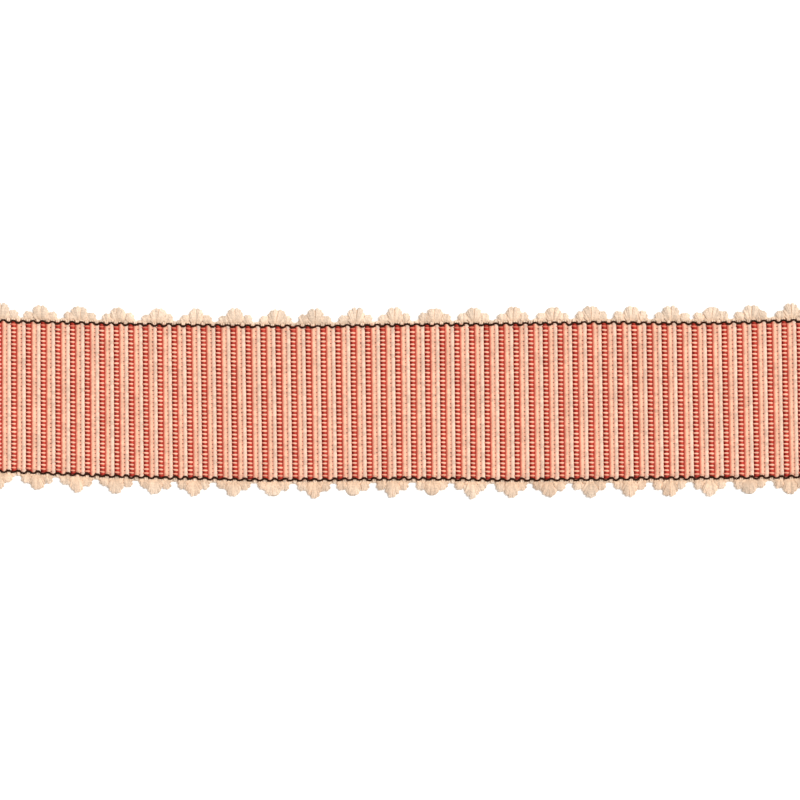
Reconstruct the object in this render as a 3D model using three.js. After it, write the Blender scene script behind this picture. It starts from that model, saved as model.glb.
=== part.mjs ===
// A cut length of woven tape trim, lying flat: a ribbed ground, a fine dark cord along each of its
// long edges, and a scalloped edging outside each cord. Millimetres, +X along the tape, +Z up,
// the underside on z = 0.
import * as THREE from "three";

// The ground's ribs run across the tape and repeat in threes: one ladder rib and two plain ones.
const REPEATS = 56;
const CUT_FROM = -141.74; // where the left cut end lies along the tape
const RIB_WIDTHS = { plainLeft: 1.58, plainRight: 1.55, ladder: 1.92 };
const RIB_ORDER = ["plainLeft", "plainRight", "ladder"];
const THICKNESS = 1.5;
const GROOVE_DEPTH = 0.4;
const CREST_FROM = 0.28; // share of a rib's width where its flat crest starts
const CREST_TO = 0.72;

// The cord weaves in and out round the rib ends, once for every two ribs.
const CORD_DIAMETER = 0.55;
const CORD_SWING = 0.3;
const CORD_HEIGHT = 0.98;
const CORD_SIDES = 4;
const CORD_TURN = 0.5; // share of a side by which its first corner is turned, for a flat top
const CLEARANCE = 0.3;

// One scallop of the edging is eight ribs long and has three lobes above a plain band.
const RIBS_PER_SCALLOP = 8;
const BAND_REACH = 1.75; // from the cord's line to the notch between two scallops
const LOBES = [
  { centre: 0.2, halfWidth: 0.13, reach: 3.62, puff: 0.34 },
  { centre: 0.5, halfWidth: 0.235, reach: 5.7, puff: 0.5 },
  { centre: 0.8, halfWidth: 0.13, reach: 3.62, puff: 0.34 },
];
const LOBE_SQUARENESS = 2.4; // 2 is an ellipse
const LOBE_CREASES = [0.285, 0.715]; // shares of a scallop, between its lobes
const EDGING = { band: 1.0, innerEdge: 1.08, outerEdge: 0.55, undercut: 0.35, crestAt: 0.6 };

// The edging outside each long edge: the notch nearest the middle, and the scallops' reach.
const SIDES = {
  back: { sign: 1, notchAt: 4.66, reachScale: 1 },
  front: { sign: -1, notchAt: 3.52, reachScale: 1.07 },
};

// How the length lies: its middle line, half its width between the cords, how far the front edge
// is ahead of the back one, and how far the ribs have slipped along it.
const LIE_STEP = 34;
const LIE_OVERRUN = 0.25; // how many steps the table's curve carries on past its ends
const LIE = [
  { along: -136, middle: 1.46, half: 25.5, lean: 0.07, slip: 0.54 },
  { along: -102, middle: 0.26, half: 25.84, lean: 0.27, slip: 0.24 },
  { along: -68, middle: -0.48, half: 26.0, lean: 0.68, slip: -0.37 },
  { along: -34, middle: -0.9, half: 26.07, lean: 0.78, slip: -0.07 },
  { along: 0, middle: -0.46, half: 26.1, lean: 0.65, slip: 0 },
  { along: 34, middle: -0.5, half: 26.45, lean: 0.58, slip: -0.12 },
  { along: 68, middle: -0.13, half: 26.54, lean: 0.85, slip: -0.31 },
  { along: 102, middle: -0.05, half: 26.3, lean: 0.92, slip: 0.07 },
  { along: 136, middle: 0.6, half: 26.5, lean: 0.95, slip: 0.34 },
];

const REPEAT = RIB_ORDER.reduce((sum, kind) => sum + RIB_WIDTHS[kind], 0);
const CUT_TO = CUT_FROM + REPEATS * REPEAT;
const SCALLOP_PITCH = (RIBS_PER_SCALLOP / RIB_ORDER.length) * REPEAT;

const COLOURS = { ground: 0xe9a58c, cord: 0x1d1a18, edging: 0xf3dcc2 };
const ROUGHNESS = 0.9;

// The ribs in order, each with where it starts and its width.
function listRibs() {
  const ribs = [];
  let start = CUT_FROM;
  for (let i = 0; i < REPEATS * RIB_ORDER.length; i++) {
    const width = RIB_WIDTHS[RIB_ORDER[i % RIB_ORDER.length]];
    ribs.push({ start, width, swing: i % 2 ? 1 : -1 });
    start += width;
  }
  return ribs;
}

const ribs = listRibs();

// One column of the lie at a place along the tape, on a smooth curve through the table.
function lieAt(along, column) {
  const lastRow = LIE.length - 1;
  const steps = (along - LIE[0].along) / LIE_STEP;
  const at = THREE.MathUtils.clamp(steps, -LIE_OVERRUN, lastRow + LIE_OVERRUN);
  const row = THREE.MathUtils.clamp(Math.floor(at), 0, lastRow - 1);
  const value = (k) => LIE[THREE.MathUtils.clamp(k, 0, lastRow)][column];
  const from = value(row);
  const to = value(row + 1);
  const slopeFrom = (to - value(row - 1)) / 2;
  const slopeTo = (value(row + 2) - from) / 2;
  const t = at - row;
  return (
    from * (2 * t ** 3 - 3 * t ** 2 + 1) +
    slopeFrom * (t ** 3 - 2 * t ** 2 + t) +
    to * (3 * t ** 2 - 2 * t ** 3) +
    slopeTo * (t ** 3 - t ** 2)
  );
}

// A point on the tape: beyond is measured outwards from the cord's line on the given side.
function place(along, sign, beyond, height) {
  const x = along + lieAt(along, "slip") - (sign * lieAt(along, "lean")) / 2;
  const y = lieAt(along, "middle") + sign * (lieAt(along, "half") + beyond);
  return new THREE.Vector3(x, y, height);
}

// How far the cord swings outwards: nothing at the grooves, and fully at the middle of each rib.
function swingAt(along) {
  const rib = ribs.find((r) => along <= r.start + r.width) ?? ribs[ribs.length - 1];
  const share = THREE.MathUtils.clamp((along - rib.start) / rib.width, 0, 1);
  return rib.swing * CORD_SWING * (1 - Math.abs(2 * share - 1));
}

// A closed solid through a row of sections with the same number of points each, in an order that
// runs anticlockwise when it is seen from the end of the row.
function loft(sections) {
  const count = sections[0].length;
  const points = sections.flat();
  const index = [];
  for (let s = 0; s < sections.length - 1; s++) {
    for (let k = 0; k < count; k++) {
      const a = s * count + k;
      const b = s * count + ((k + 1) % count);
      index.push(a, b, b + count, a, b + count, a + count);
    }
  }
  const last = (sections.length - 1) * count;
  for (let k = 1; k < count - 1; k++) {
    index.push(0, k + 1, k);
    index.push(last, last + k, last + k + 1);
  }
  const geometry = new THREE.BufferGeometry().setFromPoints(points);
  geometry.setIndex(index);
  geometry.computeVertexNormals();
  return geometry;
}

function ground() {
  const edge = -(CORD_DIAMETER / 2 + CLEARANCE);
  const section = (along, groove) => {
    const beyond = edge + swingAt(along);
    return [
      place(along, -1, beyond, groove),
      place(along, 1, beyond, groove),
      place(along, 1, beyond, THICKNESS - groove),
      place(along, -1, beyond, THICKNESS - groove),
    ];
  };
  const sections = ribs.flatMap((rib) => [
    section(rib.start, GROOVE_DEPTH),
    section(rib.start + CREST_FROM * rib.width, 0),
    section(rib.start + CREST_TO * rib.width, 0),
  ]);
  sections.push(section(CUT_TO, GROOVE_DEPTH));
  return loft(sections);
}

// Where the cord and the edging's inner edge bend: each groove, and the middle of each rib.
function halfRibs() {
  const stops = ribs.flatMap((rib) => [rib.start, rib.start + rib.width / 2]);
  return [...stops, CUT_TO];
}

function edgeCord(side) {
  const sections = halfRibs().map((along) => {
    const section = [];
    for (let k = 0; k < CORD_SIDES; k++) {
      const turn = (side.sign * 2 * Math.PI * (k + CORD_TURN)) / CORD_SIDES;
      const beyond = swingAt(along) + (CORD_DIAMETER / 2) * Math.cos(turn);
      const height = CORD_HEIGHT + (CORD_DIAMETER / 2) * Math.sin(turn);
      section.push(place(along, side.sign, beyond, height));
    }
    return section;
  });
  return loft(sections);
}

// The share of a scallop, from 0 at one notch to 1 at the next.
function scallopShare(along, side) {
  return THREE.MathUtils.euclideanModulo((along - side.notchAt) / SCALLOP_PITCH, 1);
}

// How far the edging reaches, and how high it stands over its band, at a share of a scallop.
function scallopForm(share, side) {
  let reach = BAND_REACH;
  let crest = EDGING.band;
  for (const lobe of LOBES) {
    const t = Math.abs(share - lobe.centre) / lobe.halfWidth;
    if (t >= 1) continue;
    const round = (1 - t ** LOBE_SQUARENESS) ** (1 / LOBE_SQUARENESS);
    reach = Math.max(reach, lobe.reach * side.reachScale * round);
    crest = Math.max(crest, EDGING.band + lobe.puff * Math.sqrt(1 - t * t));
  }
  return { reach, crest };
}

function scallopEdging(side) {
  const stops = halfRibs();
  const first = Math.floor((CUT_FROM - side.notchAt) / SCALLOP_PITCH);
  for (let n = first; n * SCALLOP_PITCH + side.notchAt < CUT_TO; n++) {
    for (const share of LOBE_CREASES) {
      const along = side.notchAt + (n + share) * SCALLOP_PITCH;
      if (along > CUT_FROM && along < CUT_TO) stops.push(along);
    }
  }
  stops.sort((a, b) => a - b);
  const sections = stops.map((along) => {
    const { reach, crest } = scallopForm(scallopShare(along, side), side);
    const inner = swingAt(along) + CORD_DIAMETER / 2 + CLEARANCE;
    const crestAt = inner + EDGING.crestAt * (reach - inner);
    const section = [
      place(along, side.sign, inner, 0),
      place(along, side.sign, reach - EDGING.undercut, 0),
      place(along, side.sign, reach, EDGING.outerEdge),
      place(along, side.sign, crestAt, crest),
      place(along, side.sign, inner, EDGING.innerEdge),
    ];
    return side.sign > 0 ? section : section.reverse();
  });
  return loft(sections);
}

function piece(name, geometry, color) {
  const material = new THREE.MeshStandardMaterial({ color, roughness: ROUGHNESS, metalness: 0 });
  const mesh = new THREE.Mesh(geometry, material);
  mesh.name = name;
  return mesh;
}

const trim = new THREE.Group();
trim.add(piece("ribbed_ground", ground(), COLOURS.ground));
for (const [where, side] of Object.entries(SIDES)) {
  trim.add(piece(`${where}_edge_cord`, edgeCord(side), COLOURS.cord));
  trim.add(piece(`${where}_scallop_edging`, scallopEdging(side), COLOURS.edging));
}

export default trim;
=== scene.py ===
"""The looks of a cut length of ribbed tape trim with scalloped edges, lying flat.

The tape is a corrugated cloth with its yarn floats laid over it on both faces. A fine dark cord
runs along each long edge, and outside it a scalloped edging of looped cream yarn. Sizes are in
millimetres until a mesh is made, and a mesh is in metres.
"""

import logging
import math
from dataclasses import dataclass, field, replace
from enum import Enum
from typing import Any, Callable, Iterable, Sequence

import bpy
import numpy as np
from bpy.types import Material, Node, NodeSocket, NodeTree, Object
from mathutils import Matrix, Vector


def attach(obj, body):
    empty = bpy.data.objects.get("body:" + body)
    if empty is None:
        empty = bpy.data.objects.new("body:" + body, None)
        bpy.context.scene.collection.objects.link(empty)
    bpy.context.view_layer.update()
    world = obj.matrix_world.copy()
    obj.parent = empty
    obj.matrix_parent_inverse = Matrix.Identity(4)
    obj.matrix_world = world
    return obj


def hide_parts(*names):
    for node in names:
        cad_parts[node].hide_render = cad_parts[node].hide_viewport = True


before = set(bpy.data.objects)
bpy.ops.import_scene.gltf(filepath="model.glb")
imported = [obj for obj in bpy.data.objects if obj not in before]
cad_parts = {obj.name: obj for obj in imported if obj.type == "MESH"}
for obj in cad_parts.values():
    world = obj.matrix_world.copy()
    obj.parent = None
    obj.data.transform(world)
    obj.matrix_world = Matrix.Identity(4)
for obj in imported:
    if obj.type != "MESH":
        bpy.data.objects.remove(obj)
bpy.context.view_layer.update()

MM = 0.001
BODY = "root"
SEED = 20

log = logging.getLogger("trim")

Colour = tuple[float, float, float]


# The tape's own measures

@dataclass(eq=False)
class EdgeForm:
    """What differs between the two long edges.

    An edge has its name, its number, its way out from the middle, the notch between scallops
    that is nearest the middle, the scale of its lobes' reach, how late the painted shade at their
    loops' feet fades towards the tips, and the most painted shade that a lobe may be given.
    """

    label: str
    number: int
    sign: float
    notch_at: float
    reach_scale: float
    foot_shade_power: float
    tan: float


class Edge(EdgeForm, Enum):
    """The two long edges of the tape."""

    # The last two numbers are painted shade on the lobes: how late it fades from the loops' feet,
    # and the most a lobe gets, more on the front edge, which faces away from the key light.
    BACK = ("back", 1, 1.0, 4.66, 1.0, 0.36, 0.2)
    FRONT = ("front", 2, -1.0, 3.25, 1.07, 0.75, 0.45)


@dataclass(frozen=True)
class LieRow:
    """Where the tape lies at one place along it.

    Its middle line, half its width between the cords, how far its front edge is ahead of the
    back one, and how far the ribs have slipped along it.
    """

    middle: float
    half: float
    lean: float
    slip: float


class Lie:
    """How the length lies: a smooth curve through rows set evenly along the tape."""

    FIRST = -136.0
    STEP = 34.0
    OVERRUN = 0.25
    TURN_STEP = 0.5
    HALF = 26.1
    ROWS = (
        LieRow(1.46, 25.5, 0.07, 0.54),
        LieRow(0.26, 25.84, 0.27, 0.24),
        LieRow(-0.48, 26.0, 0.68, -0.37),
        LieRow(-0.9, 26.07, 0.78, -0.07),
        LieRow(-0.46, 26.1, 0.65, 0.0),
        LieRow(-0.5, 26.45, 0.58, -0.12),
        LieRow(-0.13, 26.54, 0.85, -0.31),
        LieRow(-0.05, 26.3, 0.92, 0.07),
        LieRow(0.6, 26.5, 0.95, 0.34),
    )

    @classmethod
    def column(cls, name: str, along: np.ndarray) -> np.ndarray:
        """One column of the table at places along the tape.

        Args:
            name: the field of LieRow to read.
            along: places along the tape.

        Returns:
            The value at each place.
        """
        values = np.array([getattr(row, name) for row in cls.ROWS])
        last = len(values) - 1
        steps = np.clip((along - cls.FIRST) / cls.STEP, -cls.OVERRUN, last + cls.OVERRUN)
        row = np.clip(np.floor(steps).astype(int), 0, last - 1)
        before = values[np.clip(row - 1, 0, last)]
        start = values[row]
        end = values[row + 1]
        after = values[np.clip(row + 2, 0, last)]
        t = steps - row
        return (
            start * (2 * t**3 - 3 * t**2 + 1)
            + (end - before) / 2 * (t**3 - 2 * t**2 + t)
            + end * (3 * t**2 - 2 * t**3)
            + (after - start) / 2 * (t**3 - t**2)
        )

    @classmethod
    def place(cls, along: Any, across: Any, height: Any) -> np.ndarray:
        """Points on the tape, in metres.

        Args:
            along: place along the tape.
            across: place across it, from its middle towards its back edge.
            height: height above the floor.

        Returns:
            An array with a row of x, y and z for each point.
        """
        along, across, height = np.broadcast_arrays(
            np.asarray(along, float), np.asarray(across, float), np.asarray(height, float)
        )
        inside = np.clip(across, -cls.HALF, cls.HALF)
        share = inside / cls.HALF
        x = along + cls.column("slip", along) - share * cls.column("lean", along) / 2
        y = cls.column("middle", along) + share * cls.column("half", along) + across - inside
        return np.stack([x, y, height], axis=-1) * MM

    @classmethod
    def turn(cls, along: np.ndarray, across: np.ndarray) -> np.ndarray:
        """The angle of the tape's own length to the X axis at each place, in radians."""
        ahead = cls.place(along + cls.TURN_STEP, across, 0.0)
        step = ahead - cls.place(along - cls.TURN_STEP, across, 0.0)
        return np.arctan2(step[:, 1], step[:, 0])


def smooth_step(low: float, high: float, value: np.ndarray) -> np.ndarray:
    """A soft step from 0 at low to 1 at high."""
    share = np.clip((value - low) / (high - low), 0, 1)
    return share * share * (3 - 2 * share)


def signed_power(value: Any, power: float) -> Any:
    """A power of the size of a value, which keeps the value's sign."""
    return np.sign(value) * np.abs(value) ** power


@dataclass(frozen=True)
class Weave:
    """The grid of the ground: ribs in threes along the tape and warp rows across it."""

    repeats: int = 56
    repeat: float = 5.05
    cut_from: float = -141.74
    ladder_from_end: float = 0.96
    rows: int = 38
    row_pitch: float = 1.3842
    rows_middle: float = 0.24
    ribs_per_repeat: int = 3
    ribs_per_scallop: int = 8
    roll_from: float = 24.6
    roll_to: float = 25.6
    roll_drop: float = 0.2

    @property
    def length(self) -> float:
        """The cut length of the tape."""
        return self.repeats * self.repeat

    @property
    def cut_to(self) -> float:
        """Where the right cut end lies along the tape."""
        return self.cut_from + self.length

    @property
    def rib(self) -> float:
        """The mean distance from rib to rib."""
        return self.repeat / self.ribs_per_repeat

    @property
    def scallop(self) -> float:
        """The length of one scallop of the edgings."""
        return self.rib * self.ribs_per_scallop

    def ladders(self) -> np.ndarray:
        """The middle of each ladder rib along the tape."""
        first = self.cut_from + self.repeat - self.ladder_from_end
        return first + self.repeat * np.arange(self.repeats)

    def rib_middles(self) -> np.ndarray:
        """The middle of every rib along the tape."""
        first = self.ladders()[0] - (self.ribs_per_repeat - 1) * self.rib
        return first + self.rib * np.arange(self.repeats * self.ribs_per_repeat)

    def row_across(self, shift: float) -> np.ndarray:
        """Places across the tape, the shift of a row past each red row towards the front edge."""
        steps = (self.rows - 1) / 2 - np.arange(self.rows) - shift
        return self.rows_middle + self.row_pitch * steps

    def holds(self, along: Any, margin: float = 0.0) -> bool:
        """Whether places along the tape all lie inside its cut ends, by a margin."""
        low, high = np.min(along), np.max(along)
        return bool(low >= self.cut_from + margin and high <= self.cut_to - margin)

    def cord_swing(self, along: np.ndarray) -> np.ndarray:
        """How far out the dark cord is drawn at each place, from -1 to 1."""
        crest_at = self.ladders()[self.repeats // 2 - 1]
        return np.cos(math.pi * (along - crest_at) / self.rib)

    def edge_height(self, across: np.ndarray) -> np.ndarray:
        """The share of its height that the ground keeps where it rolls down under the cords."""
        return 1 - self.roll_drop * smooth_step(self.roll_from, self.roll_to, np.abs(across))


WEAVE = Weave()


def lay_beyond(edge: Edge, along: Any, beyond: Any, height: Any) -> np.ndarray:
    """Points by a long edge, in metres, with beyond measured out from its cord's line."""
    return Lie.place(along, edge.sign * (Lie.HALF + beyond), height)


# Node trees

@dataclass(frozen=True)
class Wire:
    """An output of a node, with Python's operators as Math nodes."""

    graph: "Graph"
    socket: NodeSocket

    def _math(self, operation: str, *values: Any) -> "Wire":
        """A Math node on the given values or wires."""
        sockets = dict(enumerate(values))
        return self.graph.node("ShaderNodeMath", sockets, operation=operation).out("Value")

    def __add__(self, other: Any) -> "Wire":
        """This wire and another value added."""
        return self._math("ADD", self, other)

    __radd__ = __add__

    def __sub__(self, other: Any) -> "Wire":
        """This wire less another value."""
        return self._math("SUBTRACT", self, other)

    def __mul__(self, other: Any) -> "Wire":
        """This wire times another value."""
        return self._math("MULTIPLY", self, other)

    def sine(self) -> "Wire":
        """The sine of this wire, in radians."""
        return self._math("SINE", self)

    def cosine(self) -> "Wire":
        """The cosine of this wire, in radians."""
        return self._math("COSINE", self)


@dataclass(frozen=True)
class Step:
    """A node of a tree."""

    graph: "Graph"
    node: Node

    def out(self, name: str) -> Wire:
        """The output of that name which the node's settings leave in use."""
        found = [s for s in self.node.outputs if s.name == name and s.enabled]
        return Wire(self.graph, found[0])


@dataclass(frozen=True)
class Graph:
    """A node tree that is written as expressions."""

    tree: NodeTree

    def fill(self, node: Node, values: dict[Any, Any]) -> None:
        """Fills a node's sockets.

        Args:
            node: the node.
            values: a value or a wire for each socket, by name or by number.
        """
        for key, value in values.items():
            if isinstance(key, int):
                socket = node.inputs[key]
            else:
                socket = [s for s in node.inputs if s.name == key and s.enabled][0]
            if isinstance(value, Wire):
                self.tree.links.new(value.socket, socket)
            else:
                socket.default_value = value

    def node(self, kind: str, values: dict[Any, Any] | None = None, **settings: Any) -> Step:
        """Adds a node.

        Args:
            kind: the node's type.
            values: a value or a wire for each socket, by name or by number.
            **settings: the node's own settings, which are set first.

        Returns:
            The node.
        """
        node = self.tree.nodes.new(kind)
        for name, value in settings.items():
            setattr(node, name, value)
        self.fill(node, values or {})
        return Step(self, node)

    def noise(self, place: Wire, scale: float, detail: float = 1.0) -> Wire:
        """A noise from 0 to 1 over a material's places."""
        values = {"Vector": place, "Scale": scale, "Detail": detail}
        return self.node("ShaderNodeTexNoise", values).out("Fac")

    def painted(self, name: str, output: str = "Fac") -> Wire:
        """A mesh's stored attribute in a material."""
        return self.node("ShaderNodeAttribute", attribute_name=name).out(output)

    def named(self, name: str, kind: str = "FLOAT") -> Wire:
        """A stored attribute in a geometry tree."""
        node = self.node("GeometryNodeInputNamedAttribute", {"Name": name}, data_type=kind)
        return node.out("Attribute")

    def store(self, geometry: Wire, name: str, value: Wire, **settings: str) -> Wire:
        """A geometry with an attribute stored on it."""
        values = {"Geometry": geometry, "Name": name, "Value": value}
        node = self.node("GeometryNodeStoreNamedAttribute", values, **settings)
        return node.out("Geometry")

    def vector(self, **axes: Wire) -> Wire:
        """A vector of the given X, Y and Z."""
        return self.node("ShaderNodeCombineXYZ", axes).out("Vector")

    def scaled(self, vector: Any, factor: Any) -> Wire:
        """A colour or a vector times a number."""
        values = {0: vector, "Scale": factor}
        return self.node("ShaderNodeVectorMath", values, operation="SCALE").out("Vector")

    def mix(self, factor: Any, first: Any, second: Any) -> Wire:
        """A colour between two colours, with the factor kept from 0 to 1."""
        values = {"Factor": factor, "A": first, "B": second}
        node = self.node("ShaderNodeMix", values, data_type="RGBA", clamp_factor=True)
        return node.out("Result")


def opaque(colour: Colour) -> tuple[float, float, float, float]:
    """A colour with its alpha."""
    return (*colour, 1.0)


WHITE = opaque((1.0, 1.0, 1.0))


def new_material(name: str) -> tuple[Material, Graph, Node]:
    """Makes a material with nodes.

    Args:
        name: the material's name.

    Returns:
        The material, its graph and its surface shader.
    """
    material = bpy.data.materials.new(name)
    material.use_nodes = True
    graph = Graph(material.node_tree)
    return material, graph, material.node_tree.nodes["Principled BSDF"]


# Finishes

@dataclass(frozen=True)
class Finish:
    """Matt cloth, in one colour on its face and another where it sinks between the yarns: painted
    shade, mixed on the cream floats and the core with the red of yarn beneath.
    """

    name: str
    face: Colour
    sunk: Colour
    slot: str = "ribbed_cloth"
    fibre_scale: float = 2600.0
    fibre_detail: float = 2.0
    fibre_spread: float = 0.5
    bump: float = 0.4
    bump_depth: float = 0.08
    roughness: float = 0.95
    specular: float = 0.5
    sheen: float = 0.0

    def surface(self, graph: Graph, place: Wire, fibre: Wire) -> tuple[Wire, Wire]:
        """The tone of the colour and the height of the surface, from its fibres' noise."""
        return 1 + (fibre - 0.5) * self.fibre_spread, fibre

    def material(self) -> Material:
        """Makes the finish's nodes.

        Returns:
            The finish as a material.
        """
        material, graph, shader = new_material(self.name)
        place = graph.node("ShaderNodeTexCoord").out("Object")
        fibre = graph.noise(place, self.fibre_scale, self.fibre_detail)
        tone, height = self.surface(graph, place, fibre)
        # The stored mark mixes in the second colour: painted shade where the yarn sinks, with the
        # red of yarn beneath on the cream floats and the core.
        colour = graph.mix(graph.painted("sunk"), opaque(self.face), opaque(self.sunk))
        relief = {"Strength": self.bump, "Distance": self.bump_depth * MM, "Height": height}
        looks = {
            "Base Color": graph.scaled(colour, tone),
            "Normal": graph.node("ShaderNodeBump", relief).out("Normal"),
            "Roughness": self.roughness,
            "Specular IOR Level": self.specular,
            "Sheen Weight": self.sheen,
        }
        graph.fill(shader, looks)
        return material


@dataclass(frozen=True)
class YarnFinish(Finish):
    """Twisted cotton yarn, with the ridges of its plies, and each float in its own shade."""

    fibre_scale: float = 5200.0
    fibre_spread: float = 0.3
    bump: float = 0.35
    bump_depth: float = 0.06
    roughness: float = 0.92
    specular: float = 0.12
    sheen: float = 0.05
    ply_pitch: float = 0.85
    ply_ridge: float = 0.09
    ply_bump: float = 0.35
    shade_spread: float = 0.22
    patch_scale: float = 90.0
    patch_spread: float = 0.16
    fleck_scale: float = 1250.0
    fleck_spread: float = 0.1

    def surface(self, graph: Graph, place: Wire, fibre: Wire) -> tuple[Wire, Wire]:
        """Adds the plies' ridges, the float's own shade, patches and flecks to the fibres.

        Args:
            graph: the material's graph.
            place: where each point of the surface lies.
            fibre: the noise of the fibres.

        Returns:
            The tone of the colour and the height of the surface.
        """
        strand = graph.node("ShaderNodeSeparateXYZ", {"Vector": graph.painted("strand", "Vector")})
        turns = strand.out("X") * (2 * math.pi / self.ply_pitch)
        ridge = turns.sine() * strand.out("Y") + turns.cosine() * strand.out("Z")
        tone = (
            1
            + (graph.painted("shade") - 0.5) * self.shade_spread
            + (fibre - 0.5) * self.fibre_spread
            + (graph.noise(place, self.patch_scale) - 0.5) * self.patch_spread
            + (graph.noise(place, self.fleck_scale) - 0.5) * self.fleck_spread
            + ridge * self.ply_ridge
        )
        return tone, ridge * self.ply_bump + fibre


# Each finish's second colour is painted shade where the yarn sinks. On the beads and the salmon
# and ivory ribs it also holds the red of the warp beneath; the red rung's dark second colour is
# painted shade only.
RED_YARN = YarnFinish(
    "coral_red_yarn", (0.66, 0.078, 0.05), (0.15, 0.001, 0.0005), specular=0.02, sheen=0.0
)
RAIL_YARN = YarnFinish("red_rail_yarn", (0.45, 0.04, 0.022), (0.28, 0.02, 0.012))
BACK_BEAD_YARN = YarnFinish("orange_bead_yarn", (0.85, 0.25, 0.16), (0.5, 0.05, 0.03))
FRONT_BEAD_YARN = YarnFinish("salmon_bead_yarn", (0.95, 0.45, 0.3), (0.75, 0.12, 0.07))
STITCH_YARN = YarnFinish(
    "brick_stitch_yarn", (0.22, 0.06, 0.04), (0.15, 0.04, 0.025), shade_spread=1.2
)
BEAD_YARN = YarnFinish("ivory_bead_yarn", (1.0, 0.64, 0.44), (0.94, 0.2, 0.14))
SALMON_YARN = YarnFinish(
    "pale_salmon_yarn", (0.91, 0.57, 0.39), (0.86, 0.22, 0.14), fleck_spread=0.3
)
CREAM_YARN = YarnFinish(
    "ivory_rib_yarn", (0.86, 0.635, 0.486), (0.82, 0.4, 0.28), fleck_spread=0.3
)
EDGING_YARN = YarnFinish(
    "ivory_edging_yarn",
    (0.87, 0.7, 0.55),
    (0.81, 0.54, 0.36),
    slot="cream_yarn",
    shade_spread=0.3,
    fleck_spread=0.5,
    sheen=0.12,
)
DARK_YARN = YarnFinish(
    "black_cord_yarn",
    (0.038, 0.014, 0.007),
    (0.018, 0.007, 0.004),
    slot="dark_cord",
    ply_ridge=0.2,
    fibre_spread=0.6,
    specular=0.04,
    sheen=0.0,
)
# The cores' second colour: on the ground, painted groove shade mixed with the red of the ladders'
# yarn; on the edging, painted shade under and inside the web.
GROUND_CORE = Finish("ribbed_core", (0.9, 0.52, 0.36), (0.3, 0.015, 0.01))
EDGING_CORE = Finish("edging_core", (0.88, 0.68, 0.51), (0.6, 0.32, 0.2), slot="cream_yarn")


# Making meshes

def mesh_object(
    name: str, points: np.ndarray, faces: Sequence = (), edges: Sequence = (), **marks: np.ndarray
) -> Object:
    """A smooth mesh object in the scene.

    Args:
        name: the object's name.
        points: a row of x, y and z for each point, in metres.
        faces: the points of each face.
        edges: the points of each edge, where there are no faces.
        **marks: an attribute to store, as a number or a vector for each point.

    Returns:
        The object.
    """
    mesh = bpy.data.meshes.new(name)
    mesh.from_pydata(points.reshape(-1, 3).tolist(), list(edges), list(faces))
    mesh.polygons.foreach_set("use_smooth", [True] * len(mesh.polygons))
    mesh.update()
    for label, values in marks.items():
        flat = np.asarray(values, np.float32)
        kind, key = ("FLOAT_VECTOR", "vector") if flat.ndim == 2 else ("FLOAT", "value")
        mesh.attributes.new(label, kind, "POINT").data.foreach_set(key, flat.ravel())
    piece = bpy.data.objects.new(name, mesh)
    bpy.context.scene.collection.objects.link(piece)
    return piece


def loft_faces(stations: int, sides: int, flipped: bool) -> list[tuple[int, ...]]:
    """The faces of a closed tube through rings of points.

    Args:
        stations: the number of rings.
        sides: the number of points in each ring.
        flipped: whether the faces are turned over.

    Returns:
        The points of each face: those of the tube, and then its two ends.
    """
    faces = []
    for start in range(0, (stations - 1) * sides, sides):
        for k in range(sides):
            a = start + k
            b = start + (k + 1) % sides
            faces.append((a, a + sides, b + sides, b))
    ring = range(sides)
    faces.append(tuple(ring))
    faces.append(tuple((stations - 1) * sides + k for k in reversed(ring)))
    return [face[::-1] for face in faces] if flipped else faces


def set_inputs(piece: Object, tree: NodeTree, values: dict[str, Any]) -> None:
    """Puts a geometry tree on an object and sets its inputs by their identifiers.

    Args:
        piece: the object.
        tree: the geometry tree.
        values: the value of each input, by its name.
    """
    modifier = piece.modifiers.new(tree.name, "NODES")
    modifier.node_group = tree
    for item in tree.interface.items_tree:
        if item.in_out == "INPUT" and item.name in values:
            modifier[item.identifier] = values[item.name]


def bake_down(piece: Object) -> Object:
    """Turns an object's modifiers into a plain mesh of its own.

    Args:
        piece: the object.

    Returns:
        The same object.
    """
    graph = bpy.context.evaluated_depsgraph_get()
    solid = bpy.data.meshes.new_from_object(
        piece.evaluated_get(graph), preserve_all_data_layers=True, depsgraph=graph
    )
    piece.modifiers.clear()
    old = piece.data
    piece.data = solid
    bpy.data.meshes.remove(old)
    solid.name = piece.name
    return piece


def settle(piece: Object, finish: Finish, *nodes: str) -> Object:
    """Ties a finished piece to the frame and reports it.

    Args:
        piece: the finished piece.
        finish: its finish; not used.
        *nodes: the CAD nodes that it replaces.

    Returns:
        The piece.
    """
    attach(piece, BODY)
    if nodes:
        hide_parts(*nodes)
    corners = sum(len(face.vertices) - 2 for face in piece.data.polygons)
    log.info("%s: %d triangles", piece.name, corners)
    return piece


# Yarn laid as floats

CRISP_ANGLE = math.radians(40)


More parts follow.
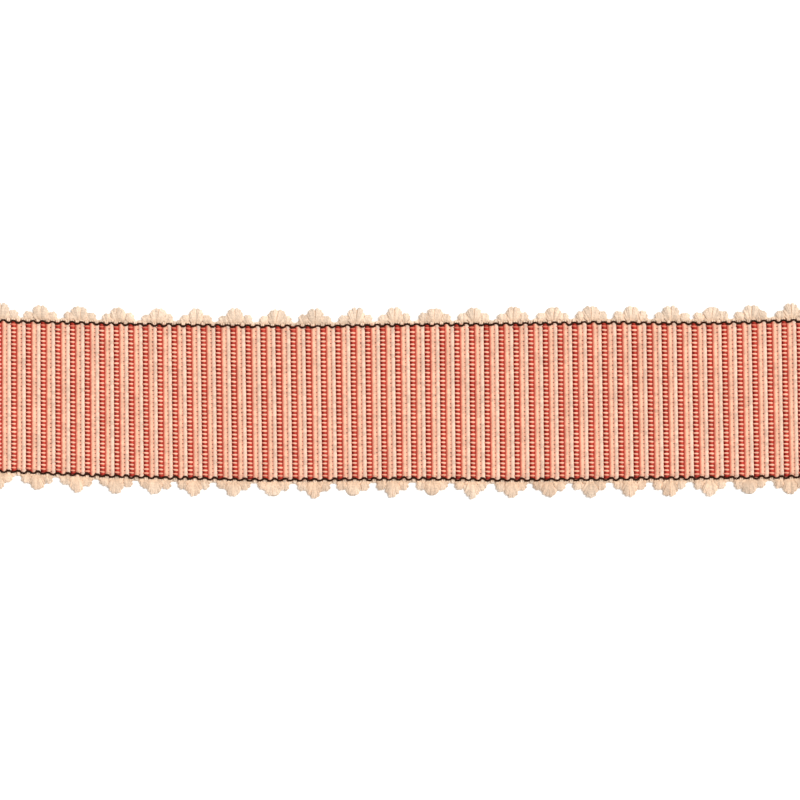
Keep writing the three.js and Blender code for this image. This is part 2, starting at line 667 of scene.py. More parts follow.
@dataclass(frozen=True)
class FloatForm:
    """One yarn float over a rib. Its X is along the yarn and its top is at the crest's height."""

    name: str
    start: float
    end: float
    width: float
    thickness: float
    crest: float
    start_drop: float
    end_drop: float
    crest_at: float = 0.5
    slant: float = 0.0
    start_width: float = 0.8
    end_width: float = 0.8
    taper_power: float = 2.5
    fullness: float = 0.8
    # How far each end of a float takes the second colour: painted shade where the yarn dips into a
    # groove, with the red beneath on cream floats.
    start_shade_and_tint: float = 1.0
    end_shade_and_tint: float = 1.0
    shade_and_tint_power: float = 2.0
    segments: int = 4
    sides: int = 6
    upside_down: bool = False
    crisp: bool = False

    def prototype(self) -> Object:
        """Makes the float that a bed copies.

        Returns:
            The float, as a closed mesh that isn't rendered itself.
        """
        share = np.linspace(0, 1, self.segments + 1)
        before = np.clip(self.crest_at - share, 0, None) / self.crest_at
        after = np.clip(share - self.crest_at, 0, None) / (1 - self.crest_at)
        drop = self.start_drop * before**2 + self.end_drop * after**2
        narrowed = (1 - self.start_width) * before**self.taper_power
        narrowed += (1 - self.end_width) * after**self.taper_power
        width = self.width * (1 - narrowed)
        angle = 2 * math.pi * (np.arange(self.sides) + 0.5) / self.sides
        side = signed_power(np.cos(angle), self.fullness)
        up = signed_power(np.sin(angle), self.fullness)
        x = np.repeat(self.start + share * (self.end - self.start), self.sides)
        y = np.outer(width / 2, side).ravel() - self.slant * (np.repeat(share, self.sides) - 0.5)
        z = (self.crest - drop - self.thickness / 2)[:, None] + self.thickness / 2 * up[None, :]
        z = z.ravel()
        if self.upside_down:
            y, z = -y, self.crest - z
        points = np.stack([x, y, z], axis=-1) * MM
        faces = loft_faces(self.segments + 1, self.sides, True)
        turns = np.tile(2 * angle, self.segments + 1)
        strand = np.stack([x, np.cos(turns), np.sin(turns)], axis=-1)
        # Painted shade towards the float's dipping ends, mixed on cream floats with the red
        # beneath.
        shade_and_tint_share = self.start_shade_and_tint * before**self.shade_and_tint_power + self.end_shade_and_tint * after**self.shade_and_tint_power
        sunk = np.repeat(shade_and_tint_share, self.sides)
        piece = mesh_object(f"{self.name}_form", points, faces, strand=strand, sunk=sunk)
        if self.crisp:
            piece.data.set_sharp_from_angle(angle=CRISP_ANGLE)
        piece.hide_render = True
        return piece


def new_tree(name: str, inputs: dict[str, str]) -> tuple[Graph, Callable[[str], Wire]]:
    """A geometry tree with a geometry in and out.

    Args:
        name: the tree's name.
        inputs: each further input's name and its kind of socket.

    Returns:
        The tree's graph, and a function that gives an input by its name.
    """
    tree = bpy.data.node_groups.new(name, "GeometryNodeTree")
    for label, kind in {"Geometry": "Geometry", **inputs}.items():
        tree.interface.new_socket(label, in_out="INPUT", socket_type=f"NodeSocket{kind}")
    tree.interface.new_socket("Geometry", in_out="OUTPUT", socket_type="NodeSocketGeometry")
    graph = Graph(tree)
    return graph, graph.node("NodeGroupInput").out


def end_tree(graph: Graph, geometry: Wire, material: Wire) -> None:
    """Ends a geometry tree in real, smooth geometry of one material.

    Args:
        graph: the tree's graph.
        geometry: what the tree has made.
        material: the material for all of it.
    """
    real = graph.node("GeometryNodeRealizeInstances", {"Geometry": geometry}).out("Geometry")
    smooth = graph.node("GeometryNodeSetShadeSmooth", {"Geometry": real}).out("Geometry")
    values = {"Geometry": smooth, "Material": material}
    dressed = graph.node("GeometryNodeSetMaterial", values).out("Geometry")
    graph.node("NodeGroupOutput", {"Geometry": dressed})


def random_value(graph: Graph, spread: Wire, seed: Wire, stream: int) -> Wire:
    """A random number for each element, from minus the spread to the spread."""
    values = {"Min": spread * -1, "Max": spread, "Seed": seed + stream}
    return graph.node("FunctionNodeRandomValue", values).out("Value")


def float_bed_tree() -> NodeTree:
    """Makes the tree that lays a float on each point, each a little different.

    Returns:
        The tree.
    """
    inputs = {
        "Float": "Object",
        "Material": "Material",
        "Size spread": "Float",
        "Turn spread": "Float",
        "Height spread": "Float",
        "Seed": "Int",
    }
    graph, entry = new_tree("float_bed", inputs)
    seed = entry("Seed")
    shape = graph.node("GeometryNodeObjectInfo", {"Object": entry("Float")}).out("Geometry")
    lift = graph.vector(Z=random_value(graph, entry("Height spread"), seed, 1))
    lifted = {"Geometry": entry("Geometry"), "Offset": lift}
    turn = graph.named("turn") + random_value(graph, entry("Turn spread"), seed, 2)
    growth = 1 + random_value(graph, entry("Size spread"), seed, 3)
    laying = {
        "Points": graph.node("GeometryNodeSetPosition", lifted).out("Geometry"),
        "Instance": shape,
        "Rotation": graph.vector(Z=turn),
        "Scale": graph.scaled(graph.named("size", "FLOAT_VECTOR"), growth),
    }
    laid = graph.node("GeometryNodeInstanceOnPoints", laying).out("Instances")
    shade = graph.node("FunctionNodeRandomValue", {"Seed": seed}).out("Value")
    shaded = graph.store(laid, "shade", shade, data_type="FLOAT", domain="INSTANCE")
    end_tree(graph, shaded, entry("Material"))
    return graph.tree


@dataclass(frozen=True)
class FloatBed:
    """A bed of like floats, one for each ladder rib and warp row."""

    name: str
    form: FloatForm
    finish: YarnFinish
    from_ladder: float
    row_shift: float
    first_row: int = 0
    end_row: int | None = None
    size_spread: float = 0.08
    turn_spread: float = 0.06
    height_spread: float = 0.03
    seed: int = 0

    def build(self, tree: NodeTree) -> Object:
        """Lays the floats and dresses them.

        Args:
            tree: the tree that float_bed_tree makes.

        Returns:
            The bed, as one mesh.
        """
        rows = WEAVE.row_across(self.row_shift)[self.first_row : self.end_row]
        along, across = np.meshgrid(WEAVE.ladders() + self.from_ladder, rows, indexing="ij")
        along, across = along.ravel(), across.ravel()
        size = np.ones((len(across), 3))
        if not self.form.upside_down:
            size[:, 2] = WEAVE.edge_height(across)
        turn = Lie.turn(along, across)
        piece = mesh_object(self.name, Lie.place(along, across, 0.0), turn=turn, size=size)
        prototype = self.form.prototype()
        values = {
            "Float": prototype,
            "Material": self.finish.material(),
            "Size spread": self.size_spread,
            "Turn spread": self.turn_spread,
            "Height spread": self.height_spread * MM,
            "Seed": SEED + self.seed,
        }
        set_inputs(piece, tree, values)
        bake_down(piece)
        bpy.data.objects.remove(prototype)
        return settle(piece, self.finish)


# Yarn swept along paths

@dataclass(frozen=True)
class YarnPaths:
    """Paths that yarn is swept along, with the marks of each path's points."""

    points: list[np.ndarray] = field(default_factory=list)
    marks: list[dict[str, np.ndarray]] = field(default_factory=list)

    def add(self, points: np.ndarray, swell: Any, sunk: Any = 0.0, shade: float = 0.5) -> None:
        """Adds one path. Its marks are one number for all its points, or one for each.

        Args:
            points: a row of x, y and z for each point, in metres.
            swell: the yarn's thickness there, as a share of its usual one.
            sunk: how far its colour is the finish's second one, a painted shade.
            shade: how light it is among its like, from 0 to 1.
        """
        marks = {"swell": swell, "sunk": sunk, "shade": shade}
        self.points.append(points)
        self.marks.append({name: np.broadcast_to(v, len(points)) for name, v in marks.items()})

    def build(
        self, name: str, tree: NodeTree, finish: YarnFinish, diameter: float, sides: int
    ) -> Object:
        """Sweeps the yarn along every path.

        Args:
            name: the piece's name.
            tree: the tree that yarn_tree makes.
            finish: the yarn's finish.
            diameter: the yarn's thickness.
            sides: the number of sides of its section.

        Returns:
            The yarn, as one mesh.
        """
        edges = []
        start = 0
        for points in self.points:
            edges.extend((start + k, start + k + 1) for k in range(len(points) - 1))
            start += len(points)
        marks = {label: np.concatenate([m[label] for m in self.marks]) for label in self.marks[0]}
        piece = mesh_object(name, np.concatenate(self.points), edges=edges, **marks)
        inputs = {
            "Radius": diameter / 2 * MM,
            "Sides": sides,
            "Unit": 1 / MM,
            "Material": finish.material(),
        }
        set_inputs(piece, tree, inputs)
        return bake_down(piece)


def yarn_tree() -> NodeTree:
    """Makes the tree that sweeps a round yarn along each path.

    Returns:
        The tree.
    """
    inputs = {"Radius": "Float", "Sides": "Int", "Unit": "Float", "Material": "Material"}
    graph, entry = new_tree("swept_yarn", inputs)
    path = graph.node("GeometryNodeMeshToCurve", {"Mesh": entry("Geometry")}).out("Curve")
    spline = graph.node("GeometryNodeSplineParameter")
    reach = spline.out("Length") * entry("Unit")
    size = {"Resolution": entry("Sides"), "Radius": entry("Radius")}
    circle = graph.node("GeometryNodeCurvePrimitiveCircle", size).out("Curve")
    angle = spline.out("Factor") * (4 * math.pi)
    ring = graph.vector(Y=angle.cosine(), Z=angle.sine())
    sweep = {
        "Curve": graph.store(path, "reach", reach, data_type="FLOAT"),
        "Profile Curve": graph.store(circle, "strand", ring, data_type="FLOAT_VECTOR"),
        "Scale": graph.named("swell"),
        "Fill Caps": True,
    }
    swept = graph.node("GeometryNodeCurveToMesh", sweep).out("Mesh")
    both = {0: graph.vector(X=graph.named("reach")), 1: graph.named("strand", "FLOAT_VECTOR")}
    strand = graph.node("ShaderNodeVectorMath", both, operation="ADD").out("Vector")
    stored = graph.store(swept, "strand", strand, data_type="FLOAT_VECTOR")
    end_tree(graph, stored, entry("Material"))
    return graph.tree


# The ground

@dataclass(frozen=True)
class CoreStation:
    """One place on the ribbed core: its top, its bottom and how far its colour is the second one,
    which is the red of the ladder yarn under the ladders and painted shade in the grooves.
    """

    from_ladder: float
    top: float
    bottom: float
    sunk: float


@dataclass(frozen=True)
class GroundCore:
    """The corrugated cloth that the floats lie on, with stations over one repeat of three ribs."""

    edge: float = 26.3
    rims: tuple[float, ...] = (25.98, 25.6)
    columns: int = 8
    rim_shade_and_tint: float = 0.3
    stations: tuple[CoreStation, ...] = (
        # The last number is the red of the ladder yarn under the ladders, and painted shade in the
        # grooves between ribs.
        CoreStation(-4.02, 0.9, 0.5, 0.75),
        CoreStation(-3.75, 1.15, 0.3, 0.35),
        CoreStation(-3.3, 1.28, 0.22, 0.1),
        CoreStation(-2.85, 1.15, 0.3, 0.2),
        CoreStation(-2.48, 0.85, 0.5, 0.6),
        CoreStation(-2.1, 1.15, 0.3, 0.15),
        CoreStation(-1.66, 1.28, 0.22, 0.05),
        CoreStation(-1.16, 1.1, 0.3, 0.3),
        CoreStation(-0.94, 0.7, 0.5, 1.0),
        CoreStation(-0.52, 1.0, 0.3, 1.0),
        CoreStation(0.1, 1.2, 0.22, 1.0),
        CoreStation(0.6, 1.05, 0.3, 1.0),
        CoreStation(0.84, 0.8, 0.45, 1.0),
    )

    def build(self) -> Object:
        """Makes the core as one closed cloth.

        Returns:
            The core.
        """
        rows = [
            (ladder + station.from_ladder, station.top, station.bottom, station.sunk)
            for ladder in WEAVE.ladders()
            for station in self.stations
        ]
        along, tops, bottoms, station_shade_and_tint = np.array(rows).T
        rims = np.array([self.edge, *self.rims])
        inside = np.linspace(-WEAVE.roll_from, WEAVE.roll_from, self.columns)
        across = np.concatenate([-rims, inside, rims[::-1]])
        grid = np.meshgrid(along, across, indexing="ij")
        top = Lie.place(*grid, tops[:, None] * WEAVE.edge_height(grid[1]))
        bottom = Lie.place(*grid, bottoms[:, None])
        points = np.concatenate([top, bottom[:, ::-1]], axis=1)
        faces = loft_faces(len(along), 2 * len(across), False)
        # At the outermost edge only a share of the station's painted shade and red is put.
        share = np.where(np.abs(across) < self.edge, 1.0, self.rim_shade_and_tint)
        sunk = np.tile(np.outer(station_shade_and_tint, share), 2).ravel()
        piece = mesh_object("ribbed_core", points, faces, sunk=sunk)
        piece.data.materials.append(GROUND_CORE.material())
        return settle(piece, GROUND_CORE, "ribbed_ground")


@dataclass(frozen=True)
class RedRails:
    """The red strand down the right flank of each ladder rib, which swells at each rung."""

    from_ladder: float = 0.9
    height: float = 1.04
    diameter: float = 0.46
    end: float = 26.0
    stations_per_row: int = 3
    sides: int = 5
    sway: float = 0.03
    drift: float = 0.015
    rise: float = 0.05
    swell: float = 0.14
    # How far the rail takes its darker second colour between rungs, where it sinks under the
    # beads: painted shade.
    sunk: float = 0.4

    def build(self, tree: NodeTree) -> Object:
        """Sweeps a rail along each ladder rib.

        Args:
            tree: the tree that yarn_tree makes.

        Returns:
            The rails, as one mesh.
        """
        random = np.random.default_rng(SEED)
        count = WEAVE.rows * self.stations_per_row
        across = np.linspace(self.end, -self.end, count)
        first = WEAVE.row_across(0.0)[0]
        wave = np.cos(2 * math.pi * (first - across) / WEAVE.row_pitch)
        height = self.height * WEAVE.edge_height(across) + self.rise * wave
        paths = YarnPaths()
        for ladder in WEAVE.ladders():
            along = ladder + self.from_ladder + self.sway * wave
            along = along + random.normal(0, self.drift, count)
            points = Lie.place(along, across, height)
            paths.add(points, 1 + self.swell * wave, self.sunk * (1 - wave), random.random())
        piece = paths.build("red_rails", tree, RAIL_YARN, self.diameter, self.sides)
        return settle(piece, RAIL_YARN)


class Ground:
    """The woven ground: its core, and the floats on its face and its underside."""

    # The rung's high start value paints shade on its left end, where it dips into the groove
    # beside the ivory rib.
    RUNG = FloatForm(
        name="red_rung", start=-1.06, end=0.9, width=0.8, thickness=0.36, crest=1.48,
        start_drop=0.5, end_drop=0.24, crest_at=0.7, slant=0.16, start_width=1.35, end_width=1.0,
        fullness=0.7, end_shade_and_tint=0.4, shade_and_tint_power=0.75, start_shade_and_tint=1.3, taper_power=1.3,
    )
    BEAD = FloatForm(
        name="ivory_bead", start=-1.15, end=0.96, width=0.76, thickness=0.42, crest=1.56,
        start_drop=0.26, end_drop=0.24, crest_at=0.68, slant=0.1, start_width=0.3, end_width=0.7,
        start_shade_and_tint=0.95, shade_and_tint_power=1.0, taper_power=1.3, end_shade_and_tint=0.6,
    )
    # The rib floats get painted shade, mixed with the red beneath, on their left flank, which
    # faces away from the key light.
    SALMON = FloatForm(
        name="salmon_float", start=-0.67, end=0.9, width=1.5, thickness=0.42, crest=1.5,
        start_drop=0.32, end_drop=0.22, crest_at=0.48, slant=0.08, start_width=1.0, end_width=1.0,
        fullness=0.42, end_shade_and_tint=0.4, shade_and_tint_power=1.0, start_shade_and_tint=1.3, crisp=True,
    )
    CREAM = replace(
        SALMON, name="ivory_float", start=-0.64, end=0.84, crest_at=0.58, end_drop=0.2,
        start_shade_and_tint=1.15, end_shade_and_tint=0.32,
    )
    RIB_END = replace(CREAM, name="rib_end", width=0.84, crest=1.56)
    STITCH = FloatForm(
        name="groove_stitch", start=-0.16, end=0.16, width=0.5, thickness=0.24, crest=1.54,
        start_drop=0.08, end_drop=0.08, segments=2, sides=4,
    )
    UNDER_RED = FloatForm(
        name="under_red_float", start=-1.5, end=1.5, width=0.7, thickness=0.26, crest=0.27,
        start_drop=0.2, end_drop=0.2, segments=2, sides=4, upside_down=True,
    )
    UNDER_CREAM = replace(UNDER_RED, name="under_ivory_float", width=0.72)
    UNDER_LADDER = replace(UNDER_RED, name="under_ladder_float", start=-0.9, end=0.9, width=1.34)

    EVEN = {"size_spread": 0.035, "turn_spread": 0.03, "height_spread": 0.015}
    LOOSE = {"size_spread": 0.1, "turn_spread": 0.1, "height_spread": 0.02}
    BEDS = (
        FloatBed("red_rungs", RUNG, RED_YARN, 0.0, 0.0, seed=1),
        FloatBed("back_edge_beads", BEAD, BACK_BEAD_YARN, 0.0, 0.55, 0, 1, seed=2),
        FloatBed("front_edge_beads", BEAD, FRONT_BEAD_YARN, 0.0, 0.55, 36, 37, seed=3),
        FloatBed("ivory_beads", BEAD, BEAD_YARN, 0.0, 0.55, 1, 36, seed=4),
        FloatBed("salmon_floats", SALMON, SALMON_YARN, -3.2, 0.12, **EVEN, seed=5),
        FloatBed("ivory_floats", CREAM, CREAM_YARN, -1.68, 0.42, end_row=-1, **EVEN, seed=6),
        FloatBed("back_rib_ends", RIB_END, CREAM_YARN, -1.68, -0.05, 0, 1, seed=11),
        FloatBed("front_rib_ends", RIB_END, CREAM_YARN, -1.68, 0.19, 37, seed=12),
        FloatBed("groove_stitches", STITCH, STITCH_YARN, -2.33, 0.06, **LOOSE, seed=7),
        FloatBed("under_red_floats", UNDER_RED, RED_YARN, -2.5, 0.0, seed=8),
        FloatBed("under_ivory_floats", UNDER_CREAM, CREAM_YARN, -2.5, 0.5, end_row=-1, seed=9),
        FloatBed("under_ladder_floats", UNDER_LADDER, SALMON_YARN, 0.0, 0.0, seed=10),
    )

    def build(self, bed_tree: NodeTree, sweep_tree: NodeTree) -> None:
        """Args:
            bed_tree: the tree that float_bed_tree makes.
            sweep_tree: the tree that yarn_tree makes.
        """
        form = GroundCore()
        core = form.build()
        pieces = [bed.build(bed_tree) for bed in self.BEDS]
        pieces.append(RedRails().build(sweep_tree))
        flat = (2 * form.edge * MM, WEAVE.length * MM)


# The dark cord

@dataclass(frozen=True)
class DarkCord:
    """The two-ply cord along one long edge, drawn in and out at every second rib."""

    edge: Edge
    swing: float = 0.34
    squareness: float = 0.5
    height: float = 1.26
    dip: float = 0.06
    ply_diameter: float = 0.53
    ply_offset: float = 0.14
    ply_turn: float = 1.15
    inner_swell: float = 0.14
    end_length: float = 1.6
    end_offset: float = 0.2
    knots: int = 150
    drift: float = 0.07
    pull: float = 0.22
    stations_per_turn: int = 7
    sides: int = 5

    def build(self, tree: NodeTree) -> None:
        """Twists the two plies along the edge, closing on each other at the cut ends.

        Args:
            tree: the tree that yarn_tree makes.
        """
        random = np.random.default_rng(SEED + self.edge.number)
        count = int(WEAVE.length / self.ply_turn * self.stations_per_turn)
        along = np.linspace(WEAVE.cut_from, WEAVE.cut_to, count)
        knots = np.linspace(WEAVE.cut_from, WEAVE.cut_to, self.knots)
        drift = np.interp(along, knots, random.normal(0, self.drift, self.knots))
        pull = np.interp(along, knots, random.normal(1, self.pull, self.knots))
        wave = WEAVE.cord_swing(along)
        squared = wave + self.squareness * (wave - wave**3)
        beyond = self.swing * pull * squared + drift
        height = self.height - self.dip * wave
        from_end = np.minimum(along - WEAVE.cut_from, WEAVE.cut_to - along)
        opened = smooth_step(0.0, self.end_length, from_end)
        offset = self.ply_offset * (self.end_offset + (1 - self.end_offset) * opened)
        paths = YarnPaths()
        for start in (0.0, math.pi):
            angle = start + 2 * math.pi * along / self.ply_turn
            out = beyond + offset * np.cos(angle)
            points = lay_beyond(self.edge, along, out, height + offset * np.sin(angle))
            paths.add(points, 1 - self.inner_swell * wave)
        name = f"{self.edge.label}_dark_cord"
        piece = paths.build(name, tree, DARK_YARN, self.ply_diameter, self.sides)
        settle(piece, DARK_YARN, f"{self.edge.label}_edge_cord")


# The scalloped edging

@dataclass(frozen=True)
class Lobe:
    """One lobe of a scallop, a fan of yarn loops."""

    centre: float
    half_width: float
    reach: float
    loops: int
    first_turn: float
    last_turn: float
    base_half: float
    crest: float
    roundness: float


LOBES = {
    Edge.BACK: (
        Lobe(0.21, 1.75, 3.9, 5, -1.42, 0.92, 0.8, 1.0, 0.75),
        Lobe(0.5, 3.05, 5.95, 8, -1.34, 1.34, 1.3, 1.14, 0.66),
        Lobe(0.79, 1.75, 3.9, 5, -0.92, 1.42, 0.8, 1.0, 0.75),
    ),
    Edge.FRONT: (
        Lobe(0.22, 1.85, 3.65, 5, -1.42, 0.92, 0.8, 1.0, 0.8),
        Lobe(0.5, 3.1, 5.75, 8, -1.36, 1.36, 1.3, 1.14, 0.9),
        Lobe(0.78, 1.85, 3.65, 5, -0.92, 1.42, 0.8, 1.0, 0.8),
    ),
}


@dataclass(frozen=True)
class LoopForm:
    """One loop of yarn: out along one leg, round its tip and back along the other."""

    width: float = 0.56
    stations: int = 13
    foot_height: float = 0.66
    tip_height: float = 0.42
    run_power: float = 2.2
    widest: float = 0.62
    spread_power: float = 0.85
    narrowing: float = 0.35
    foot_spread: float = 0.24
    highest: float = 0.8
    arch_power: float = 0.7

    def path(self, foot: np.ndarray, tip: np.ndarray, width: float, crest: float) -> np.ndarray:
        """The path of one loop.

        Args:
            foot: where it leaves the band, along the tape and beyond the cord.
            tip: the middle of its far end.
            width: the distance between its two legs at its widest.
            crest: the height of its highest stretch.

        Returns:
            Its points: along, beyond and height.
        """
        way = tip - foot
        length = float(np.hypot(*way))
        out = way / length
        side = np.array([-out[1], out[0]])
        share = np.linspace(-1, 1, self.stations)
        back = np.abs(share)
        bend = width / 2 / length
        run = (1 - bend) * (1 - back**self.run_power) + bend * np.sqrt(1 - share**2)
        spread = np.sign(share) * np.sin(math.pi * back**self.widest) ** self.spread_power
        spread = spread * (1 - self.narrowing * back) + self.foot_spread * share
        flat = foot + np.outer(run * length, out) + np.outer(spread * width / 2, side)
        slope = self.foot_height + (self.tip_height - self.foot_height) * run
        arch = np.sin(math.pi * np.clip(run, 0, 1) ** self.highest) ** self.arch_power
        middle = (self.foot_height + self.tip_height) / 2
        return np.column_stack([flat, slope + (crest - middle) * arch])


@dataclass(frozen=True)
class Stray:
    """How far a lobe and its loops stray from their places: the spread of each measure."""

    centre: float = 0.17
    reach: float = 0.045
    half_width: float = 0.06
    lean: float = 0.05
    shear: float = 0.3
    turn: float = 0.03
    ragged_turn: float = 0.04
    length: float = 0.01
    ragged_length: float = 0.03
    crest: float = 0.05
    loop_width: float = 0.1


@dataclass(frozen=True)
class WeftTurns:
    """The weft's turns round the dark cord of one long edge, one at the end of each rib."""

    edge: Edge
    yarn: float = 0.6
    stations: int = 8
    reach: float = 1.6
    swing: float = 0.15
    half: float = 0.34
    foot: float = 0.1
    roundness: float = 0.7
    foot_height: float = 0.86
    fall: float = 0.3
    sunk: float = 0.5
    reach_stray: float = 0.08
    half_stray: float = 0.08
    along_stray: float = 0.05
    height_stray: float = 0.04

    def paths(self, random: np.random.Generator) -> YarnPaths:
        """Lays each turn.

        Args:
            random: the numbers for how far the turns stray.

        Returns:
            The paths of the turns.
        """
        paths = YarnPaths()
        angle = np.linspace(-math.pi / 2, math.pi / 2, self.stations)
        out = np.cos(angle)
        for middle in WEAVE.rib_middles():
            if not WEAVE.holds(middle, self.yarn):
                continue
            swing = self.swing * float(WEAVE.cord_swing(np.array(middle)))
            reach = self.reach - self.yarn / 2 + swing + random.normal(0, self.reach_stray)
            half = self.half * (1 + random.normal(0, self.half_stray))
            along = middle + random.normal(0, self.along_stray) + half * np.sin(angle)
            beyond = self.foot + (reach - self.foot) * out**self.roundness
            height = self.foot_height - self.fall * out**2 + random.normal(0, self.height_stray)
            points = lay_beyond(self.edge, along, beyond, height)
            # Painted shade at the turn's foot, by the cord, fading towards its outer end.
            paths.add(points, 1.0, self.sunk * (1 - out), random.random())
        return paths


@dataclass(frozen=True)
class EdgingWeb:
    """The thin cloth under the loops of one long edge, a little smaller than the lobes."""

    edge: Edge
    stations_per_scallop: int = 24
    inner: float = 0.25
    band: float = 1.4
    inset: float = 0.45
    side_inset: float = 0.15
    squareness: float = 2.6
    undercut: float = 0.15
    underside: float = 0.02
    rim_height: float = 0.3
    inner_height: float = 0.6
    foot_at: float = 0.7
    foot_height: float = 0.66
    foot_painted_shade: float = 0.3
    crest_at: float = 0.45
    band_height: float = 0.62
    lobe_base: float = 0.5
    lobe_share: float = 0.7
    shoulder_at: float = 0.8
    shoulder_share: float = 0.7

    def outline(self, along: np.ndarray) -> tuple[np.ndarray, np.ndarray]:
        """The web's outline.

        Args:
            along: places along the tape.

        Returns:
            How far the web reaches there, and how high it stands.
        """
        share = np.mod((along - self.edge.notch_at) / WEAVE.scallop, 1.0)
        reach = np.full_like(along, self.band)
        crest = np.full_like(along, self.band_height)
        for lobe in LOBES[self.edge]:
            off = np.abs(share - lobe.centre) * WEAVE.scallop / (lobe.half_width - self.side_inset)
            form = np.clip(1 - off**self.squareness, 0, 1) ** (1 / self.squareness)
            rise = (lobe.crest - self.lobe_base) * form * self.lobe_share
            far = (lobe.reach * self.edge.reach_scale - self.inset) * form
            reach = np.maximum(reach, far)
            crest = np.maximum(crest, self.band_height + rise)
        return reach, crest

    def build(self) -> None:
        """Makes the web as one closed strip."""
        count = int(WEAVE.length / WEAVE.scallop * self.stations_per_scallop)
        along = np.linspace(WEAVE.cut_from, WEAVE.cut_to, count)
        reach, crest = self.outline(along)
        span = reach - self.inner
        shoulder = self.rim_height + self.shoulder_share * (crest - self.rim_height)
        # The third number of each row is painted shade: full under and inside the web, a share at
        # the yarn's foot by the cord, none on its top.
        ring = (
            (self.inner, self.underside, 1.0),
            (reach - self.undercut, self.underside, 0.0),
            (reach, self.rim_height, 0.0),
            (self.inner + self.shoulder_at * span, shoulder, 0.0),
            (self.inner + self.crest_at * span, crest, 0.0),
            (self.inner + self.foot_at, self.foot_height, self.foot_painted_shade),
            (self.inner, self.inner_height, 1.0),
        )
        rows = [lay_beyond(self.edge, along, beyond, height) for beyond, height, _ in ring]
        points = np.stack(rows, axis=1)
        faces = loft_faces(count, len(ring), self.edge.sign > 0)
        sunk = np.tile([sunk for _, _, sunk in ring], count)
        piece = mesh_object(f"{self.edge.label}_edging_web", points, faces, sunk=sunk)
        piece.data.materials.append(EDGING_CORE.material())
        settle(piece, EDGING_CORE, f"{self.edge.label}_scallop_edging")


@dataclass(frozen=True)
class ScallopEdging:
    """The edging outside one dark cord: a web, the turns of the weft and fans of loops."""

    edge: Edge
    stream: int = 4
    foot: float = 0.8
    yarn: float = 0.66
    sides: int = 6
    foot_swell: float = 0.85
    tip_swell: float = 0.3
    swell_power: float = 0.4
    loop: LoopForm = LoopForm()
    stray: Stray = Stray()

    def scallops(self) -> list[float]:
        """The place of each scallop's first notch along the tape."""
        first = math.floor((WEAVE.cut_from - self.edge.notch_at) / WEAVE.scallop)
        count = math.ceil(WEAVE.length / WEAVE.scallop) + 1
        return [self.edge.notch_at + (first + n) * WEAVE.scallop for n in range(count)]

    def fan(self, paths: YarnPaths, notch: float, lobe: Lobe, random: np.random.Generator) -> None:
        """Adds the loops of one lobe, each lobe a little untidy in a way of its own.

        Args:
            paths: where the loops are added.
            notch: where the lobe's scallop starts along the tape.
            lobe: the lobe's form.
            random: the numbers for how far it strays.
        """
        stray = self.stray
        centre = notch + lobe.centre * WEAVE.scallop + random.normal(0, stray.centre)
        reach = lobe.reach * self.edge.reach_scale * (1 + random.normal(0, stray.reach))
        half_width = lobe.half_width * (1 + random.normal(0, stray.half_width))
        lean = random.normal(0, stray.lean)
        shear = random.normal(0, stray.shear)
        ragged = random.random() ** 2
        # A random share of the edge's painted shade for this lobe.
        tan = self.edge.tan * random.random()
        far = reach - self.yarn / 2 - self.foot
        for i in range(lobe.loops):
            share = i / (lobe.loops - 1)
            turn = lobe.first_turn + share * (lobe.last_turn - lobe.first_turn)
            turn += lean + random.normal(0, stray.turn + stray.ragged_turn * ragged)
            out = max(math.cos(turn), 0.0) ** lobe.roundness
            aside = signed_power(math.sin(turn), lobe.roundness)
            length = 1 + random.normal(0, stray.length + stray.ragged_length * ragged)
            tip_along = centre + (half_width - self.yarn / 2) * aside + shear * out
            tip = np.array([tip_along, self.foot + far * out * length])
            foot = np.array([centre + (2 * share - 1) * lobe.base_half, self.foot])
            crest = lobe.crest + random.normal(0, stray.crest)
            width = self.loop.width * (1 + random.normal(0, stray.loop_width))
            along, beyond, height = self.loop.path(foot, tip, width, crest).T
            if not WEAVE.holds(along):
                continue
            # Painted shade at each loop's foot by the cord, fading towards the tip; the lobe's own
            # painted shade is laid over the rest.
            passed = np.clip((beyond - self.foot) / far, 0, 1)
            foot_shade_share = 1 - passed**self.edge.foot_shade_power
            swell = self.foot_swell + self.tip_swell * passed**self.swell_power
            points = lay_beyond(self.edge, along, beyond, height)
            paths.add(points, swell, foot_shade_share + (1 - foot_shade_share) * tan, random.random())

    def build(self, tree: NodeTree) -> None:
        """Makes the web, the fans of loops and the turns of the weft.

        Args:
            tree: the tree that yarn_tree makes.
        """
        random = np.random.default_rng(SEED + self.stream + self.edge.number)
        EdgingWeb(self.edge).build()
        fans = YarnPaths()
        for notch in self.scallops():
            for lobe in LOBES[self.edge]:
                self.fan(fans, notch, lobe, random)
        turns = WeftTurns(self.edge)
        yarns = (("loops", fans, self.yarn), ("turns", turns.paths(random), turns.yarn))
        for name, paths, yarn in yarns:
            piece = paths.build(f"{self.edge.label}_{name}", tree, EDGING_YARN, yarn, self.sides)
            settle(piece, EDGING_YARN)


# The studio

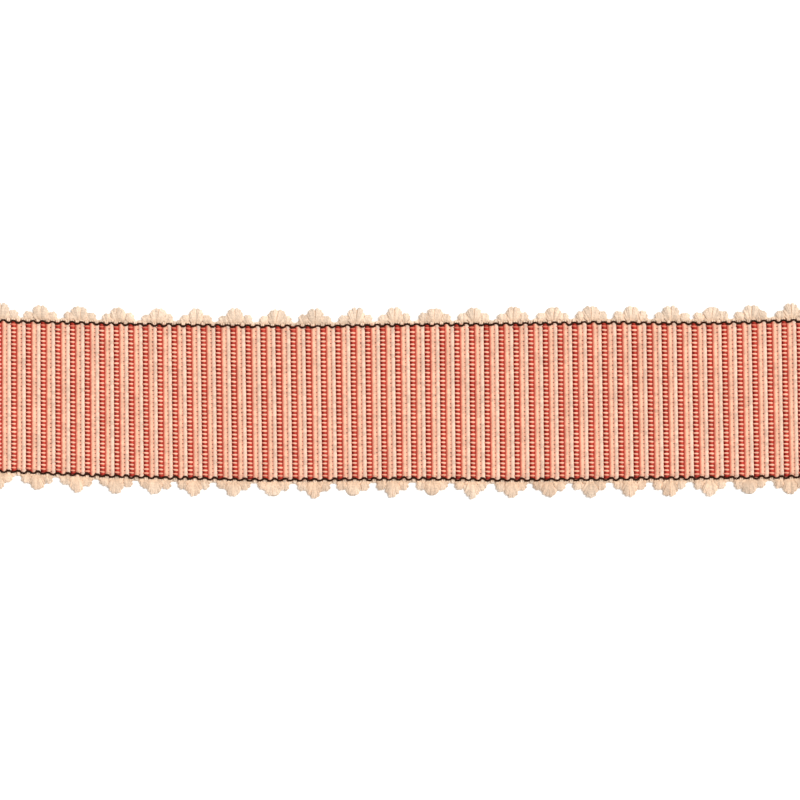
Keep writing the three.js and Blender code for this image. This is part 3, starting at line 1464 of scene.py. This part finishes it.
class Studio:
    """The floor, the light and the camera."""

    FRAME_WIDTH = 272.0
    LENS = 100.0
    SENSOR = 36.0
    AIM = (-0.62, 0.17)
    SEEN_HEIGHT = 1.3
    FLOOR_HALF = 40000.0
    FLOOR_HEIGHT = -0.04
    FLOOR_COLOUR = (0.95, 0.95, 0.95)
    FLOOR_ROUGHNESS = 0.9
    FLOOR_GLOW = 0.15
    KEY_FROM = (0.55, 0.28, 0.95)
    KEY_ENERGY = 2.4
    KEY_ANGLE = math.radians(28)
    SURROUND = 0.5

    def floor(self) -> None:
        """Makes a plain pale floor just under the tape."""
        half = self.FLOOR_HALF
        corners = [(-half, -half), (half, -half), (half, half), (-half, half)]
        points = np.array([(x, y, self.FLOOR_HEIGHT) for x, y in corners]) * MM
        floor = mesh_object("floor", points, [(0, 1, 2, 3)])
        material, graph, shader = new_material("pale_floor")
        looks = {
            "Base Color": opaque(self.FLOOR_COLOUR),
            "Roughness": self.FLOOR_ROUGHNESS,
            "Emission Color": WHITE,
            "Emission Strength": self.FLOOR_GLOW,
        }
        graph.fill(shader, looks)
        floor.data.materials.append(material)

    def lights(self) -> None:
        """Sets a soft key from the back right and an even white surround."""
        key = bpy.data.lights.new("key", "SUN")
        key.energy = self.KEY_ENERGY
        key.angle = self.KEY_ANGLE
        lamp = bpy.data.objects.new("key", key)
        lamp.rotation_euler = Vector(self.KEY_FROM).to_track_quat("Z", "Y").to_euler()
        bpy.context.scene.collection.objects.link(lamp)
        world = bpy.data.worlds.new("surround")
        world.use_nodes = True
        background = world.node_tree.nodes["Background"]
        Graph(world.node_tree).fill(background, {"Color": WHITE, "Strength": self.SURROUND})
        bpy.context.scene.world = world

    def camera(self) -> None:
        """Sets a camera straight above the tape."""
        lens = bpy.data.cameras.new("camera")
        lens.lens = self.LENS
        lens.sensor_width = self.SENSOR
        camera = bpy.data.objects.new("camera", lens)
        distance = self.FRAME_WIDTH * self.LENS / self.SENSOR + self.SEEN_HEIGHT
        camera.location = (self.AIM[0] * MM, self.AIM[1] * MM, distance * MM)
        bpy.context.scene.collection.objects.link(camera)
        bpy.context.scene.camera = camera

    def build(self) -> None:
        """Sets up the studio."""
        bpy.context.scene.view_settings.view_transform = "Standard"
        self.camera()
        self.floor()
        self.lights()


def main() -> None:
    """Builds the studio and each sub-assembly in order."""
    logging.basicConfig(level=logging.INFO, format="%(name)s: %(message)s")
    Studio().build()
    bed_tree = float_bed_tree()
    sweep_tree = yarn_tree()
    Ground().build(bed_tree, sweep_tree)
    for edge in Edge:
        DarkCord(edge).build(sweep_tree)
        ScallopEdging(edge).build(sweep_tree)


if __name__ == "__main__":
    main()
